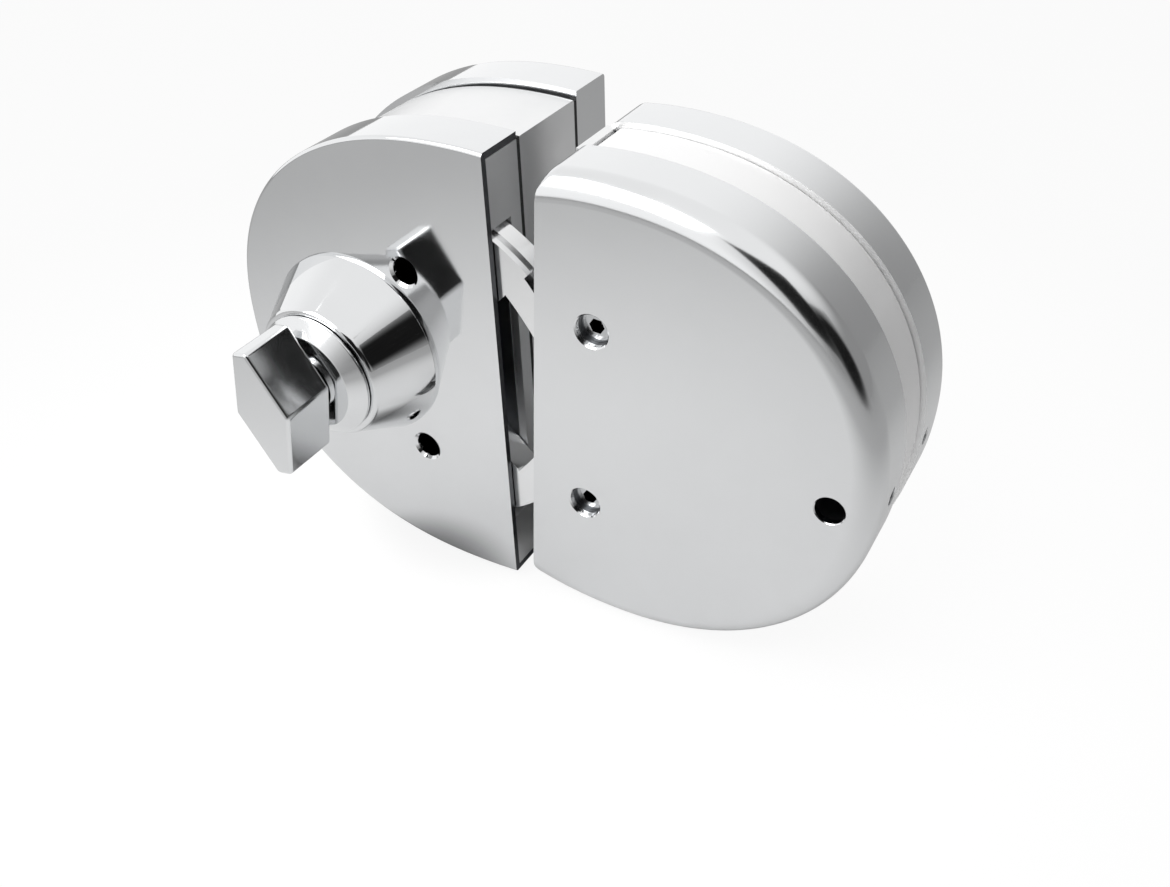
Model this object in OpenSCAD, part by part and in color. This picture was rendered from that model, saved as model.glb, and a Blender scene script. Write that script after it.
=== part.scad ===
// Glass door lock, two D shaped halves: a claw lock with a thumb turn and its strike box.
// +X runs from the lock half to the strike half, +Y into the door, +Z up, millimetres.

/* [Lock half] */
// height of both halves
body_h = 107; // [100:0.5:114]
// width of the lock half from its mouth edge to the nose
lock_w = 70.4; // [68:0.2:76]
// depth of the front case
front_depth = 12.4; // [12.4:0.1:14]
// thickness of the gasket that shows as a dark slit
gasket_t = 1.1; // [0.8:0.1:1.6]
// back of the mid block, which fills the notch in the glass
mid_back = 36; // [34:0.5:40]
// depth of the rear cover
rear_depth = 12.2; // [11.5:0.1:15]
// how far the mid block stands inside the covers
mid_inset = 1.4; // [1:0.1:2]
// thickness of the pressed cover sheet
sheet = 1.5; // [1.2:0.1:1.7]
// roundness of the lock cover edges
lock_round = 0.9; // [0.5:0.1:1.4]

/* [Strike half] */
// width of the strike half from its mouth edge to the nose
strike_w = 74.2; // [72:0.2:78]
// depth of the strike front cover
strike_front = 15.2; // [14.6:0.1:17]
// glass gap taken by the strike band
glass_gap = 12.7; // [10:0.1:14]
// depth of the strike rear cover
strike_rear = 12; // [11:0.1:14]
// roundness of the strike cover edge
strike_round = 5.5; // [4:0.1:6]
// droop of the strike half in degrees as photographed
droop = 3.8; // [0:0.1:4]

/* [Claw works] */
// thickness of each claw plate
plate_t = 2.2; // [2:0.1:2.3]
// thickness of each claw core
core_t = 4.4; // [4:0.1:4.5]
// gear module
gear_m = 0.94; // [0.92:0.01:0.95]
// radius of the claw axle
axle_r = 3; // [2.5:0.1:3.2]
// running clearance of turning pieces
run = 0.06; // [0.04:0.01:0.1]
// radius that the claws reach from their axle
claw_reach = 40.3; // [39:0.1:41]
// clearance of the mouth window above and below the claws
window_gap = 1.8; // [1:0.1:2.4]

/* [Turn and collar] */
// height of the drive axis above the claw axle
drive_z = 1; // [0:0.1:1.5]
// radius of the collar at the case face
collar_base_r = 22; // [20:0.2:23]
// radius of the collar at its front rim
collar_rim_r = 15.2; // [15:0.1:16.5]
// reach of the collar in front of the case
collar_reach = 14.1; // [12:0.1:16]
// reach of the thumb turn from the case face
turn_reach = 32.2; // [31:0.1:36]
// thickness of the thumb turn slab
turn_depth = 13.4; // [11:0.1:14]
// radius of the disc foot of the thumb turn
foot_r = 14.3; // [13:0.1:15]
// lean of the thumb turn in degrees
turn_lean = 10.8; // [0:0.1:12]

/* [Screws] */
// radius of the key holes in the lock cover
key_hole_r = 3.1; // [2.8:0.1:3.4]
// height of the clamp screws above and below the middle
clamp_z = 22.8; // [21:0.1:23.5]
// radius of the clamp screw shank
clamp_r = 2.5; // [2:0.1:2.6]
// radius of the clamp screw head
clamp_head_r = 4.2; // [3.8:0.1:4.6]
// height of the strike screws above and below the middle
strike_screw_z = 22.1; // [20:0.1:24]
// radius of the strike screw head
cap_r = 3.5; // [3.2:0.05:3.6]
// radius of the cover set screws
set_r = 2; // [1.5:0.1:2.2]

/* [Hidden] */

steel = [0.86, 0.87, 0.88];
dark_steel = [0.55, 0.56, 0.58];
black = [0.1, 0.1, 0.1];
brass = [0.72, 0.6, 0.35];
eps = 0.01;
far = 60;

// D outlines of the two halves
half_h = body_h / 2;
lock_n = 2.21;
lock_cx = -9.54;
lock_a = lock_w + lock_cx;
strike_n = 2.16;
strike_cx = 16.8;
strike_a = strike_w - strike_cx;
outline_steps = 72;
corner_steps = 4;

// layers of the claw works, measured from the case face
cover_gap = 0.3;
plate_y0 = sheet + cover_gap;
plate_y1 = plate_y0 + plate_t;
layer_gap = 0.1;
core_y1 = plate_y1 + core_t;
floor_gap = 0.2;
seat_gap = 0.02;
bolt_gap = 0.05;
window_over = 0.3;
room_wall = 3.5;
room_gap = 1.4;
floor_y = core_y1 + floor_gap;
hub_y0 = plate_y1 + layer_gap;

// claw axle and gear train
claw_x = -20;
pinion_f_teeth = 15;
sector_f_teeth = 24;
claw_centre_d = gear_m * (pinion_f_teeth + sector_f_teeth) / 2;
drive_x = claw_x - sqrt(claw_centre_d * claw_centre_d - drive_z * drive_z);
drive_dir = 180 - asin(drive_z / claw_centre_d);
pinion_r_teeth = 10;
idler_teeth = 8;
hub_r_teeth = 16;
idler_d1 = gear_m * (pinion_r_teeth + idler_teeth) / 2;
idler_d2 = gear_m * (hub_r_teeth + idler_teeth) / 2;
idler_off = (claw_centre_d * claw_centre_d + idler_d2 * idler_d2 - idler_d1 * idler_d1) / (2 * claw_centre_d);
idler_ang = drive_dir - acos(idler_off / idler_d2);
idler_x = claw_x + idler_d2 * cos(idler_ang);
idler_z = idler_d2 * sin(idler_ang);
idler_from_drive = atan2(idler_z - drive_z, idler_x - drive_x);
idler_pin_r = 1.3;
gear_backlash = 0.05;
tooth_addendum = gear_m * 0.9;
tooth_root = gear_m * 1.1;

// claw shapes, in the lock frame
hook_out_c = [-18.8, 6.1];
hook_out_r = 33.4;
hook_in_c = [-47.1, -20.2];
hook_in_r = 65.1;
core_ring_w = 6.8;
core_ring_in = claw_reach - core_ring_w;
plate_inset = 0.7;
window_h = sqrt(claw_reach * claw_reach - claw_x * claw_x) + window_gap;
inner_cut_r = 14;
inner_rivet_r = 20;
inner_rivet_ang = 65;
arm_lo = 46;
arm_hi = 84;
hook_end_z = 3.5;
rivet_r = 1.2;
rivet_ring_r = claw_reach - core_ring_w / 2;
rivet_angles = [55, 66, 77];

// drive
square = 5;
tail_y0 = -collar_reach - 3;
tail_y1 = 42;
drive_hub_r = 3.6;

// front collar and barrel
barrel_r = 11.1;
barrel_face = 0.5;
collar_bore_gap = 0.05;
stem_r = 6;

// knob outline about the drive axis, before it leans
knob_len = 14.7;
knob_side = 7.6;
knob_end = 1.95;
knob_round = 0.5;
knob_y0 = -turn_reach;
knob_y1 = -turn_reach + turn_depth;
foot_y1 = -collar_reach - 0.25;
foot_rim = 0.8;
foot_face_r = foot_r - 3.2;
foot_y0 = knob_y1 + 1.1;
neck_r = 6.9;

// clamp screws
clamp_x = -22.4;
clamp_head_t = 2.4;
hex_af = 3;
clamp_hex_af = 3;
clamp_end = mid_back + 6;

// strike stack, measured from the strike face
strike_band0 = strike_front;
strike_band1 = strike_front + glass_gap;
strike_end = strike_band1 + strike_rear;
strike_gasket = 1;
band_inset = 1;
face_t = 2;
face_front_h = half_h - strike_round - sheet - 0.2;
face_tab_h = 51;
face_tab_gap = 0.05;
catch_half = 6.7;
catch_end = 31.5;
catch_y0 = 2.6;
catch_y1 = 11.6;
pocket_x = 9.2;
strike_screw_x = 12.9;
strike_hole_x = 65.3;
strike_hole_r = 3.05;
nose_floor = 2;
strike_screw_r = 2;
cap_t = 4;
cap_face = 2.4;
sheet_hole_r = cap_r + 0.12;
set_len = 5;
set_sunk = 0.7;
set_hex_r = set_r * 0.5 / cos(30);
corner_r = 3.8;

// where the strike half stands beside the lock half
strike_at = [9.3, -1.6, 0.6];

// helpers: slabs and rods run along Y, outlines are drawn in X and Z
module slab(y0, y1) {
  translate([0, y1, 0]) rotate([90, 0, 0]) linear_extrude(y1 - y0) children();
}

module rod(x, z, r, y0, y1, fn = 64) {
  translate([x, y1, z]) rotate([90, 0, 0]) cylinder(h = y1 - y0, r = r, $fn = fn);
}

module turned(x, z, fn = 96) {
  translate([x, 0, z]) rotate([-90, 0, 0]) rotate_extrude($fn = fn) children();
}

module hex_prism(x, z, af, y0, y1) {
  translate([x, y1, z]) rotate([90, 0, 0]) cylinder(h = y1 - y0, r = af / sqrt(3), $fn = 6);
}

function spow(v, p) = sign(v) * pow(abs(v), p);

// superellipse D outline cut at x = cut, with its two cut corners rounded by cr;
// side -1 runs to -x, +1 to +x
function d_outline(cx, a, b, n, side, inset, cut, cr) =
  let(
    ai = a - inset,
    bi = b - inset,
    xc = cut + side * cr,
    top = acos(-pow(abs(xc - cx) / ai, n / 2)),
    zc = bi * pow(sin(top), 2 / n),
    corner = cr > 0 ? [for (k = [1:corner_steps]) 90 * k / corner_steps] : []
  )
  concat(
    [for (k = [len(corner) - 1:-1:0])
      [xc - side * cr * sin(corner[k]), -zc + cr * (1 - cos(corner[k]))]],
    [for (i = [0:outline_steps])
      let(t = -top + 2 * top * i / outline_steps)
      [cx + side * ai * spow(cos(t), 2 / n), bi * spow(sin(t), 2 / n)]],
    [for (v = corner) [xc - side * cr * sin(v), zc - cr * (1 - cos(v))]]
  );

function lock_pts(inset, cut) = d_outline(lock_cx, lock_a, half_h, lock_n, -1, inset, cut, 0);

function strike_pts(inset, cut) =
  d_outline(strike_cx, strike_a, half_h, strike_n, 1, inset, cut, max(corner_r - inset, 0.4));

module lock_d(inset = 0, cut = 0) {
  polygon(lock_pts(inset, cut));
}

module strike_d(inset = 0, cut = 0) {
  polygon(strike_pts(inset, cut));
}

// solid through a stack of equal outlines, rings[k] lying at y = ys[k]
module ring_solid(rings, ys, side) {
  n = len(rings[0]);
  m = len(rings);
  flip = (side < 0) == (ys[m - 1] > ys[0]);
  points = [for (k = [0:m - 1]) for (p = rings[k]) [p[0], ys[k], p[1]]];
  walls = [for (k = [0:m - 2]) for (i = [0:n - 1])
    let(j = (i + 1) % n)
    for (f = [[k * n + i, k * n + j, (k + 1) * n + j], [k * n + i, (k + 1) * n + j, (k + 1) * n + i]]) f];
  caps = [[for (i = [n - 1:-1:0]) i], [for (i = [0:n - 1]) (m - 1) * n + i]];
  faces = concat(walls, caps);
  polyhedron(points, flip ? [for (f = faces) [for (i = [len(f) - 1:-1:0]) f[i]]] : faces);
}

// D slab from face y0 to y1 with a rounded edge of radius r at the face
module rounded_slab(side, y0, y1, r, inset, cut, steps) {
  dir = y1 > y0 ? 1 : -1;
  turn = [for (k = [0:steps]) 90 * k / steps];
  rings = [for (v = turn)
    side < 0 ? lock_pts(inset + r * (1 - sin(v)), cut) : strike_pts(inset + r * (1 - sin(v)), cut)];
  last = side < 0 ? lock_pts(inset, cut) : strike_pts(inset, cut);
  ys = [for (v = turn) y0 + dir * r * (1 - cos(v))];
  ring_solid(concat(rings, [last]), concat(ys, [y1]), side);
}

module rounded_lock_slab(y0, y1, r) {
  rounded_slab(-1, y0, y1, r, 0, 0, 3);
}

module rounded_strike_slab(y0, y1, r, inset = 0, cut = 0) {
  rounded_slab(1, y0, y1, r, inset, cut, 6);
}

function polar(r, a) = [r * cos(a), r * sin(a)];

// sector of a disc about the origin between two angles
module wedge(r, a0, a1) {
  steps = 10;
  polygon(concat([[0, 0]], [for (i = [0:steps]) polar(r, a0 + (a1 - a0) * i / steps)]));
}

// gear outline with straight flanked teeth; first tooth at angle a0
module gear_outline(teeth, a0 = 0, from = 0, count = 0) {
  rp = gear_m * teeth / 2;
  half_pitch = 90 / teeth;
  slack = gear_backlash / rp * 180 / PI;
  rt = rp + tooth_addendum;
  rr = rp - tooth_root;
  last = count > 0 ? count : teeth;
  circle(r = rr + eps, $fn = 48);
  for (i = [from:from + last - 1]) {
    rotate(a0 + 360 * i / teeth)
      polygon([
        [0, 0],
        polar(rr, -half_pitch * 1.55 + slack),
        polar(rp, -half_pitch + slack),
        polar(rt, -half_pitch * 0.42 + slack),
        polar(rt, half_pitch * 0.42 - slack),
        polar(rp, half_pitch - slack),
        polar(rr, half_pitch * 1.55 - slack)
      ]);
  }
}

// lock half, fixed pieces

module lock_front_cover() {
  color(steel)
    difference() {
      rounded_lock_slab(0, front_depth, lock_round);
      slab(sheet, front_depth + 1) lock_d(sheet, 0.5);
      rod(drive_x, drive_z, barrel_r + collar_bore_gap, -1, sheet + 1);
      for (s = [-1, 1]) {
        rod(clamp_x, s * clamp_z, key_hole_r, -1, sheet + 1);
      }
      lock_set_holes();
    }
}

// the mouth plate closes the D and carries the window of the claws
module mouth_plate() {
  color(steel)
    difference() {
      slab(sheet, front_depth)
        intersection() {
          lock_d(sheet + 0.05);
          translate([-face_t, -half_h]) square([face_t, body_h]);
        }
      slab(sheet - 1, core_y1 + window_over) translate([-far / 2, -window_h]) square([far, 2 * window_h]);
    }
}

module lock_case() {
  color(dark_steel)
    difference() {
      slab(sheet, front_depth) lock_d(sheet + seat_gap, -face_t);
      slab(sheet - 1, floor_y) claw_room();
      rod(claw_x, 0, axle_r, floor_y - 1, front_depth + 1);
      rod(drive_x, drive_z, drive_hub_r + run, floor_y - 1, front_depth + 1);
      rod(idler_x, idler_z, idler_pin_r, floor_y - 1, front_depth + 1);
      for (s = [-1, 1]) {
        rod(clamp_x, s * clamp_z, clamp_r + bolt_gap, floor_y - 1, front_depth + 1);
        rod(clamp_x, s * clamp_z, clamp_head_r + bolt_gap, floor_y - 1, floor_y + clamp_head_t);
      }
      lock_set_holes();
    }
}

// hollow in which both claws swing
module claw_room() {
  intersection() {
    lock_d(sheet + room_wall, 1);
    union() {
      translate([claw_x, 0]) circle(r = claw_reach + room_gap, $fn = 96);
      translate([claw_x, -window_h]) square([far, 2 * window_h]);
    }
  }
}

module front_gasket() {
  color(black)
    difference() {
      slab(front_depth, front_depth + gasket_t) lock_d(mid_inset, 0);
      slab(front_depth - 1, front_depth + gasket_t + 1) through_holes();
    }
}

// holes every layer behind the case shares
module through_holes() {
  translate([drive_x, drive_z]) circle(r = drive_hub_r + run, $fn = 48);
  for (s = [-1, 1]) {
    translate([clamp_x, s * clamp_z]) circle(r = clamp_r + bolt_gap, $fn = 48);
  }
}

module mid_block() {
  y0 = front_depth + gasket_t;
  color(steel)
    difference() {
      slab(y0, mid_back - gasket_t) lock_d(mid_inset, 0);
      slab(y0 - 1, mid_back) through_holes();
    }
}

module rear_gasket() {
  color(black)
    difference() {
      slab(mid_back - gasket_t, mid_back) lock_d(mid_inset + 0.4, 0);
      slab(mid_back - gasket_t - 1, mid_back + 1) through_holes();
    }
}

module rear_plate() {
  color(dark_steel)
    difference() {
      slab(mid_back, mid_back + rear_depth - sheet) lock_d(sheet + seat_gap, -sheet - 0.02);
      slab(mid_back - 1, mid_back + rear_depth) through_holes();
      rod(drive_x, drive_z, barrel_r + seat_gap, mid_back + 3, mid_back + rear_depth);
      rear_set_holes();
    }
}

module rear_cover() {
  y1 = mid_back + rear_depth;
  color(steel)
    difference() {
      rounded_lock_slab(y1, mid_back, lock_round);
      slab(mid_back - 1, y1 - sheet) lock_d(sheet, -sheet);
      rod(drive_x, drive_z, barrel_r + seat_gap, y1 - sheet - 1, y1 + 1);
      rear_set_holes();
    }
}

// radial holes for the screws that hold the covers, at the top and the bottom of the D
module lock_set_holes() {
  for (s = [-1, 1]) {
    translate([set_at_x, set_at_y, s * set_hole_z]) rotate([s > 0 ? 0 : 180, 0, 0])
      cylinder(h = far, r = set_r, $fn = 32);
  }
}

module rear_set_holes() {
  for (s = [-1, 1]) {
    translate([set_at_x, mid_back + rear_depth / 2, s * set_hole_z]) rotate([s > 0 ? 0 : 180, 0, 0])
      cylinder(h = far, r = set_r, $fn = 32);
  }
}

set_at_x = lock_cx - 2;
set_at_y = front_depth - 3.2;
set_hole_z = half_h - 12;
set_top_z = half_h - 0.6;
hex_deep = 1.8;
set_gap = 0.02;

module set_screw_z(x, y, z0, z1) {
  s = z1 > z0 ? 1 : -1;
  translate([x, y, z0])
    rotate([s > 0 ? 0 : 180, 0, 0])
      difference() {
        cylinder(h = abs(z1 - z0), r = set_r - set_gap, $fn = 32);
        translate([0, 0, abs(z1 - z0) - hex_deep]) cylinder(h = hex_deep + 1, r = set_hex_r, $fn = 6);
      }
}

module lock_set_screws() {
  color(dark_steel)
    for (s = [-1, 1]) {
      for (y = [set_at_y, mid_back + rear_depth / 2]) {
        set_screw_z(set_at_x, y, s * (set_top_z - set_len), s * set_top_z);
      }
    }
}

module clamp_screws() {
  color(dark_steel)
    for (s = [-1, 1]) {
      difference() {
        union() {
          rod(clamp_x, s * clamp_z, clamp_head_r, floor_y, floor_y + clamp_head_t);
          rod(clamp_x, s * clamp_z, clamp_r, floor_y + clamp_head_t - 1, clamp_end);
        }
        hex_prism(clamp_x, s * clamp_z, clamp_hex_af, floor_y - 1, floor_y + clamp_head_t - 0.4);
      }
    }
}

// pins of the claw works

module claw_axle() {
  color(steel) rod(claw_x, 0, axle_r, plate_y0 + 0.1, front_depth);
}

module axle_clip() {
  color(dark_steel)
    difference() {
      rod(claw_x, 0, axle_r + 1.6, sheet + 0.05, plate_y0 - 0.05);
      rod(claw_x, 0, axle_r - 1, 0, plate_y0);
    }
}

module idler_pin() {
  color(steel) rod(idler_x, idler_z, idler_pin_r, hub_y0, front_depth);
}

module idler_gear() {
  color(brass)
    difference() {
      slab(hub_y0, core_y1)
        translate([idler_x, idler_z]) gear_outline(idler_teeth, idler_phase);
      rod(idler_x, idler_z, idler_pin_r + run, 0, floor_y);
    }
}

// tooth phases: each pair meets tooth to gap on its line of centres
upper_phase = drive_dir;
drive_f_phase = drive_dir + 180 + 180 / pinion_f_teeth;
idler_phase = idler_ang + 180;
lower_phase = idler_ang + 180 / hub_r_teeth;
drive_r_phase = mesh_phase(idler_from_drive, idler_phase, idler_teeth, pinion_r_teeth);

// phase of a gear so a gap meets the tooth that its partner shows along direction dir
function mesh_phase(dir, partner_phase, partner_teeth, teeth) =
  let(off = partner_phase - (dir + 180))
  dir + 180 / teeth - off * partner_teeth / teeth;

// claws; the lower one is the upper one mirrored

module claw_arm(lo, hi, r) {
  intersection() {
    translate([claw_x, 0]) circle(r = r, $fn = 120);
    translate([claw_x, 0]) wedge(r + 8, lo, hi);
  }
}

module hook_shape() {
  difference() {
    intersection() {
      translate(hook_out_c) circle(r = hook_out_r, $fn = 160);
      translate([claw_x, hook_end_z]) square([far, far]);
      translate([claw_x, 0]) circle(r = claw_reach, $fn = 160);
      translate([claw_x, 0]) wedge(far, 0, arm_lo + 8);
    }
    translate(hook_in_c) circle(r = hook_in_r, $fn = 240);
  }
}

module upper_arm_2d() {
  claw_arm(arm_lo, arm_hi, claw_reach - plate_inset);
}

module rivet_rods(y0, y1, gap = 0) {
  for (a = rivet_angles) {
    rod(claw_x + rivet_ring_r * cos(a), rivet_ring_r * sin(a), rivet_r + gap, y0, y1, 32);
  }
}

module upper_claw_plate() {
  color(steel)
    difference() {
      slab(plate_y0, plate_y1) {
        translate([claw_x, 0]) gear_outline(sector_f_teeth, upper_phase, -5, 7);
        upper_arm_2d();
        hook_shape();
      }
      rod(claw_x, 0, axle_r + run, 0, core_y1);
      rivet_rods(0, core_y1);
    }
}

module upper_claw_core() {
  color(dark_steel)
    difference() {
      slab(plate_y1, core_y1)
        difference() {
          claw_arm(arm_lo, arm_hi, claw_reach);
          translate([claw_x, 0]) circle(r = core_ring_in, $fn = 120);
        }
      rivet_rods(0, core_y1 + 1);
    }
}

module upper_claw_rivets() {
  color(steel) rivet_rods(plate_y0, core_y1);
}

module lower_claw_plate() {
  color(steel)
    mirror([0, 0, 1])
      difference() {
        slab(plate_y0, plate_y1) {
          difference() {
            upper_arm_2d();
            translate([claw_x, 0]) circle(r = inner_cut_r, $fn = 96);
          }
          hook_shape();
        }
        rivet_rods(0, core_y1);
        lower_inner_rivets(0, core_y1);
      }
}

module lower_inner_rivets(y0, y1) {
  rod(
    claw_x + inner_rivet_r * cos(inner_rivet_ang), inner_rivet_r * sin(inner_rivet_ang),
    rivet_r, y0, y1, 32
  );
}

module lower_claw_core() {
  color(dark_steel)
    difference() {
      union() {
        slab(hub_y0, core_y1) translate([claw_x, 0]) gear_outline(hub_r_teeth, lower_phase);
        mirror([0, 0, 1])
          slab(hub_y0, core_y1) claw_arm(arm_lo, arm_hi, claw_reach);
        mirror([0, 0, 1])
          slab(plate_y1, core_y1)
            difference() {
              claw_arm(arm_lo, arm_hi, claw_reach);
              translate([claw_x, 0]) circle(r = inner_cut_r, $fn = 96);
            }
      }
      rod(claw_x, 0, axle_r + run, 0, floor_y);
      mirror([0, 0, 1]) {
        rivet_rods(0, core_y1 + 1);
        lower_inner_rivets(0, core_y1 + 1);
      }
    }
}

module lower_claw_rivets() {
  color(steel)
    mirror([0, 0, 1]) {
      rivet_rods(plate_y0, core_y1);
      lower_inner_rivets(plate_y0, core_y1);
    }
}

// drive line

module square_hole(y0, y1, gap = 0) {
  slab(y0, y1) translate([drive_x, drive_z]) square(square + 2 * gap, center = true);
}

module drive_gear() {
  color(brass)
    difference() {
      union() {
        slab(plate_y0, plate_y1) translate([drive_x, drive_z]) gear_outline(pinion_f_teeth, drive_f_phase);
        slab(plate_y1, core_y1) translate([drive_x, drive_z]) gear_outline(pinion_r_teeth, drive_r_phase);
        rod(drive_x, drive_z, drive_hub_r, core_y1 - 1, front_depth);
      }
      square_hole(0, front_depth + 1);
    }
}

module tailpiece() {
  color(steel) square_hole(tail_y0, tail_y1);
}

module front_barrel() {
  color(steel)
    difference() {
      rod(drive_x, drive_z, barrel_r, -collar_reach + barrel_face, sheet, 96);
      rod(drive_x, drive_z, stem_r + run, -far, far);
    }
}

module knob_2d(inset) {
  len = knob_len - inset;
  end = knob_end - inset / 2;
  side = knob_side - inset;
  rotate(turn_lean)
    polygon([[-end, len], [end, len], [side, 0], [end, -len], [-end, -len], [-side, 0]]);
}

module thumb_turn() {
  color(steel)
    difference() {
      union() {
        slab(knob_y0 + knob_round, knob_y1) translate([drive_x, drive_z]) knob_2d(0);
        slab(knob_y0, knob_y0 + knob_round) translate([drive_x, drive_z]) knob_2d(knob_round * 0.6);
        turned(drive_x, drive_z, 160) turn_foot();
        rod(drive_x, drive_z, stem_r, foot_y1 - 1, sheet);
      }
      square_hole(tail_y0, sheet + 1);
    }
}

// neck and coned disc foot, in radius and depth
module turn_foot() {
  polygon([
    [0, foot_y1],
    [foot_r, foot_y1],
    [foot_r, foot_y1 - foot_rim],
    [foot_face_r, foot_y0],
    [neck_r, foot_y0],
    [neck_r, knob_y1 - 0.5],
    [0, knob_y1 - 0.5]
  ]);
}

module cone_collar() {
  color(steel)
    difference() {
      turned(drive_x, drive_z)
        polygon([
          [barrel_r + collar_bore_gap, 0],
          [collar_base_r, 0],
          [collar_base_r, -0.8],
          [collar_rim_r + 0.6, -collar_reach + 1],
          [collar_rim_r - 0.3, -collar_reach],
          [barrel_r + collar_bore_gap, -collar_reach]
        ]);
      collar_hole();
    }
}

collar_hole_y = -3.4;
collar_hole_r = 1.2;

module collar_hole() {
  translate([drive_x, collar_hole_y, drive_z]) rotate([0, 45, 0])
    rotate([0, 90, 0]) cylinder(h = far, r = collar_hole_r, $fn = 32);
}

module collar_set_screw() {
  color(dark_steel)
    translate([drive_x, collar_hole_y, drive_z]) rotate([0, 45, 0])
      rotate([0, 90, 0])
        translate([0, 0, barrel_r + 0.1])
          cylinder(h = 6.5, r = collar_hole_r - set_gap, $fn = 32);
}

// rear side of the lock half

rear_face = mid_back + rear_depth;
rose_r = 16;
rose_t = 3;
key_end = rear_face + rose_t - 0.5;
plug_r = 6.5;
keyway_w = 1.6;
keyway_h = 8.5;

module rear_barrel() {
  color(brass)
    difference() {
      rod(drive_x, drive_z, barrel_r, mid_back + 3, key_end, 96);
      rod(drive_x, drive_z, plug_r + run, 0, far * 2);
    }
}

module key_plug() {
  color(brass)
    difference() {
      rod(drive_x, drive_z, plug_r, mid_back + 3.1, key_end + 0.4, 64);
      square_hole(0, tail_y1 + 0.1);
      slab(tail_y1 + 2, key_end + 1) translate([drive_x - keyway_w / 2, drive_z - keyway_h / 2]) square([keyway_w, keyway_h]);
    }
}

module rear_rose() {
  color(steel)
    turned(drive_x, drive_z)
      polygon([
        [barrel_r + seat_gap, rear_face],
        [rose_r, rear_face],
        [rose_r, rear_face + rose_t - 1],
        [rose_r - 1, rear_face + rose_t],
        [barrel_r + seat_gap, rear_face + rose_t]
      ]);
}

// strike half, drawn in its own frame and then set beside the lock half

module at_strike() {
  translate(strike_at) rotate([0, droop, 0]) children();
}

module catch_windows() {
  for (s = [-1, 1]) {
    translate([-1, s > 0 ? catch_half : -catch_end]) square([face_t + 2, catch_end - catch_half]);
  }
}

module strike_front_cover() {
  color(steel)
    at_strike()
      difference() {
        rounded_strike_slab(0, strike_front, strike_round);
        rounded_strike_slab(sheet, strike_front + 1, strike_round - sheet, sheet, -1);
        for (s = [-1, 1]) {
          rod(strike_screw_x, s * strike_screw_z, sheet_hole_r, -1, sheet * 3);
        }
        rod(strike_hole_x, 0, strike_hole_r, -1, sheet * 3);
        strike_set_hole(front_set_y);
      }
}

front_set_y = 10.5;
rear_set_y = strike_band1 + 4.6;

module strike_set_hole(y) {
  translate([strike_w - 2 * set_len, y, 0]) rotate([0, 90, 0]) cylinder(h = far, r = set_r, $fn = 32);
}

module strike_core() {
  color(dark_steel)
    at_strike()
      difference() {
        rounded_strike_slab(sheet + seat_gap, strike_front - strike_gasket, strike_round - sheet, sheet + seat_gap, face_t);
        slab(catch_y0, catch_y1) translate([0, -catch_end]) square([pocket_x, 2 * catch_end]);
        strike_screw_holes(cap_t + cap_face);
        rod(strike_hole_x, 0, strike_hole_r, 0, strike_front - strike_gasket - nose_floor);
        strike_set_hole(front_set_y);
      }
}

module strike_screw_holes(head_to) {
  for (s = [-1, 1]) {
    rod(strike_screw_x, s * strike_screw_z, strike_screw_r + bolt_gap, 0, strike_end);
    rod(strike_screw_x, s * strike_screw_z, cap_r + bolt_gap, 0, head_to);
  }
}

module strike_face_plate() {
  color(steel)
    at_strike()
      difference() {
        union() {
          slab(sheet + cover_gap, strike_round + 1)
            translate([0, -face_front_h]) square([face_t, 2 * face_front_h]);
          slab(strike_round, strike_band1 + strike_gasket + 1)
            intersection() {
              strike_d(sheet + seat_gap, 0);
              translate([0, -half_h]) square([face_t, body_h]);
            }
          slab(strike_band0 + face_tab_gap, strike_band1 - face_tab_gap)
            translate([0, -face_tab_h]) square([face_t, 2 * face_tab_h]);
        }
        slab(catch_y0, catch_y1) catch_windows();
      }
}

module strike_front_gasket() {
  color(black)
    at_strike()
      difference() {
        slab(strike_front - strike_gasket, strike_front) strike_d(sheet + seat_gap, face_t);
        strike_screw_holes(0);
      }
}

module strike_mid_band() {
  color(steel)
    at_strike()
      difference() {
        slab(strike_band0, strike_band1) strike_d(band_inset, face_t);
        strike_screw_holes(0);
      }
}

module strike_rear_gasket() {
  color(black)
    at_strike()
      difference() {
        slab(strike_band1, strike_band1 + strike_gasket) strike_d(sheet + seat_gap, face_t);
        strike_screw_holes(0);
      }
}

module strike_rear_plate() {
  color(dark_steel)
    at_strike()
      difference() {
        slab(strike_band1 + strike_gasket, strike_end - sheet) strike_d(sheet + seat_gap, face_t);
        strike_screw_holes(0);
        strike_set_hole(rear_set_y);
      }
}

module strike_rear_cover() {
  color(steel)
    at_strike()
      difference() {
        rounded_strike_slab(strike_end, strike_band1, lock_round);
        slab(strike_band1 - 1, strike_end - sheet) strike_d(sheet, -1);
        strike_set_hole(rear_set_y);
      }
}

module strike_screws() {
  color(dark_steel)
    at_strike()
      for (s = [-1, 1]) {
        difference() {
          union() {
            rod(strike_screw_x, s * strike_screw_z, cap_r, cap_face, cap_face + cap_t);
            rod(strike_screw_x, s * strike_screw_z, strike_screw_r, cap_face + 1, strike_end - sheet - 1);
          }
          hex_prism(strike_screw_x, s * strike_screw_z, hex_af, cap_face - 1, cap_face + 2.2);
        }
      }
}

module strike_set_screws() {
  color(dark_steel)
    at_strike()
      for (y = [front_set_y, rear_set_y]) {
        translate([strike_w - set_sunk - set_len, y, 0]) rotate([0, 90, 0])
          difference() {
            cylinder(h = set_len, r = set_r - set_gap, $fn = 32);
            translate([0, 0, set_len - hex_deep]) cylinder(h = hex_deep + 1, r = set_hex_r, $fn = 6);
          }
      }
}

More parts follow.
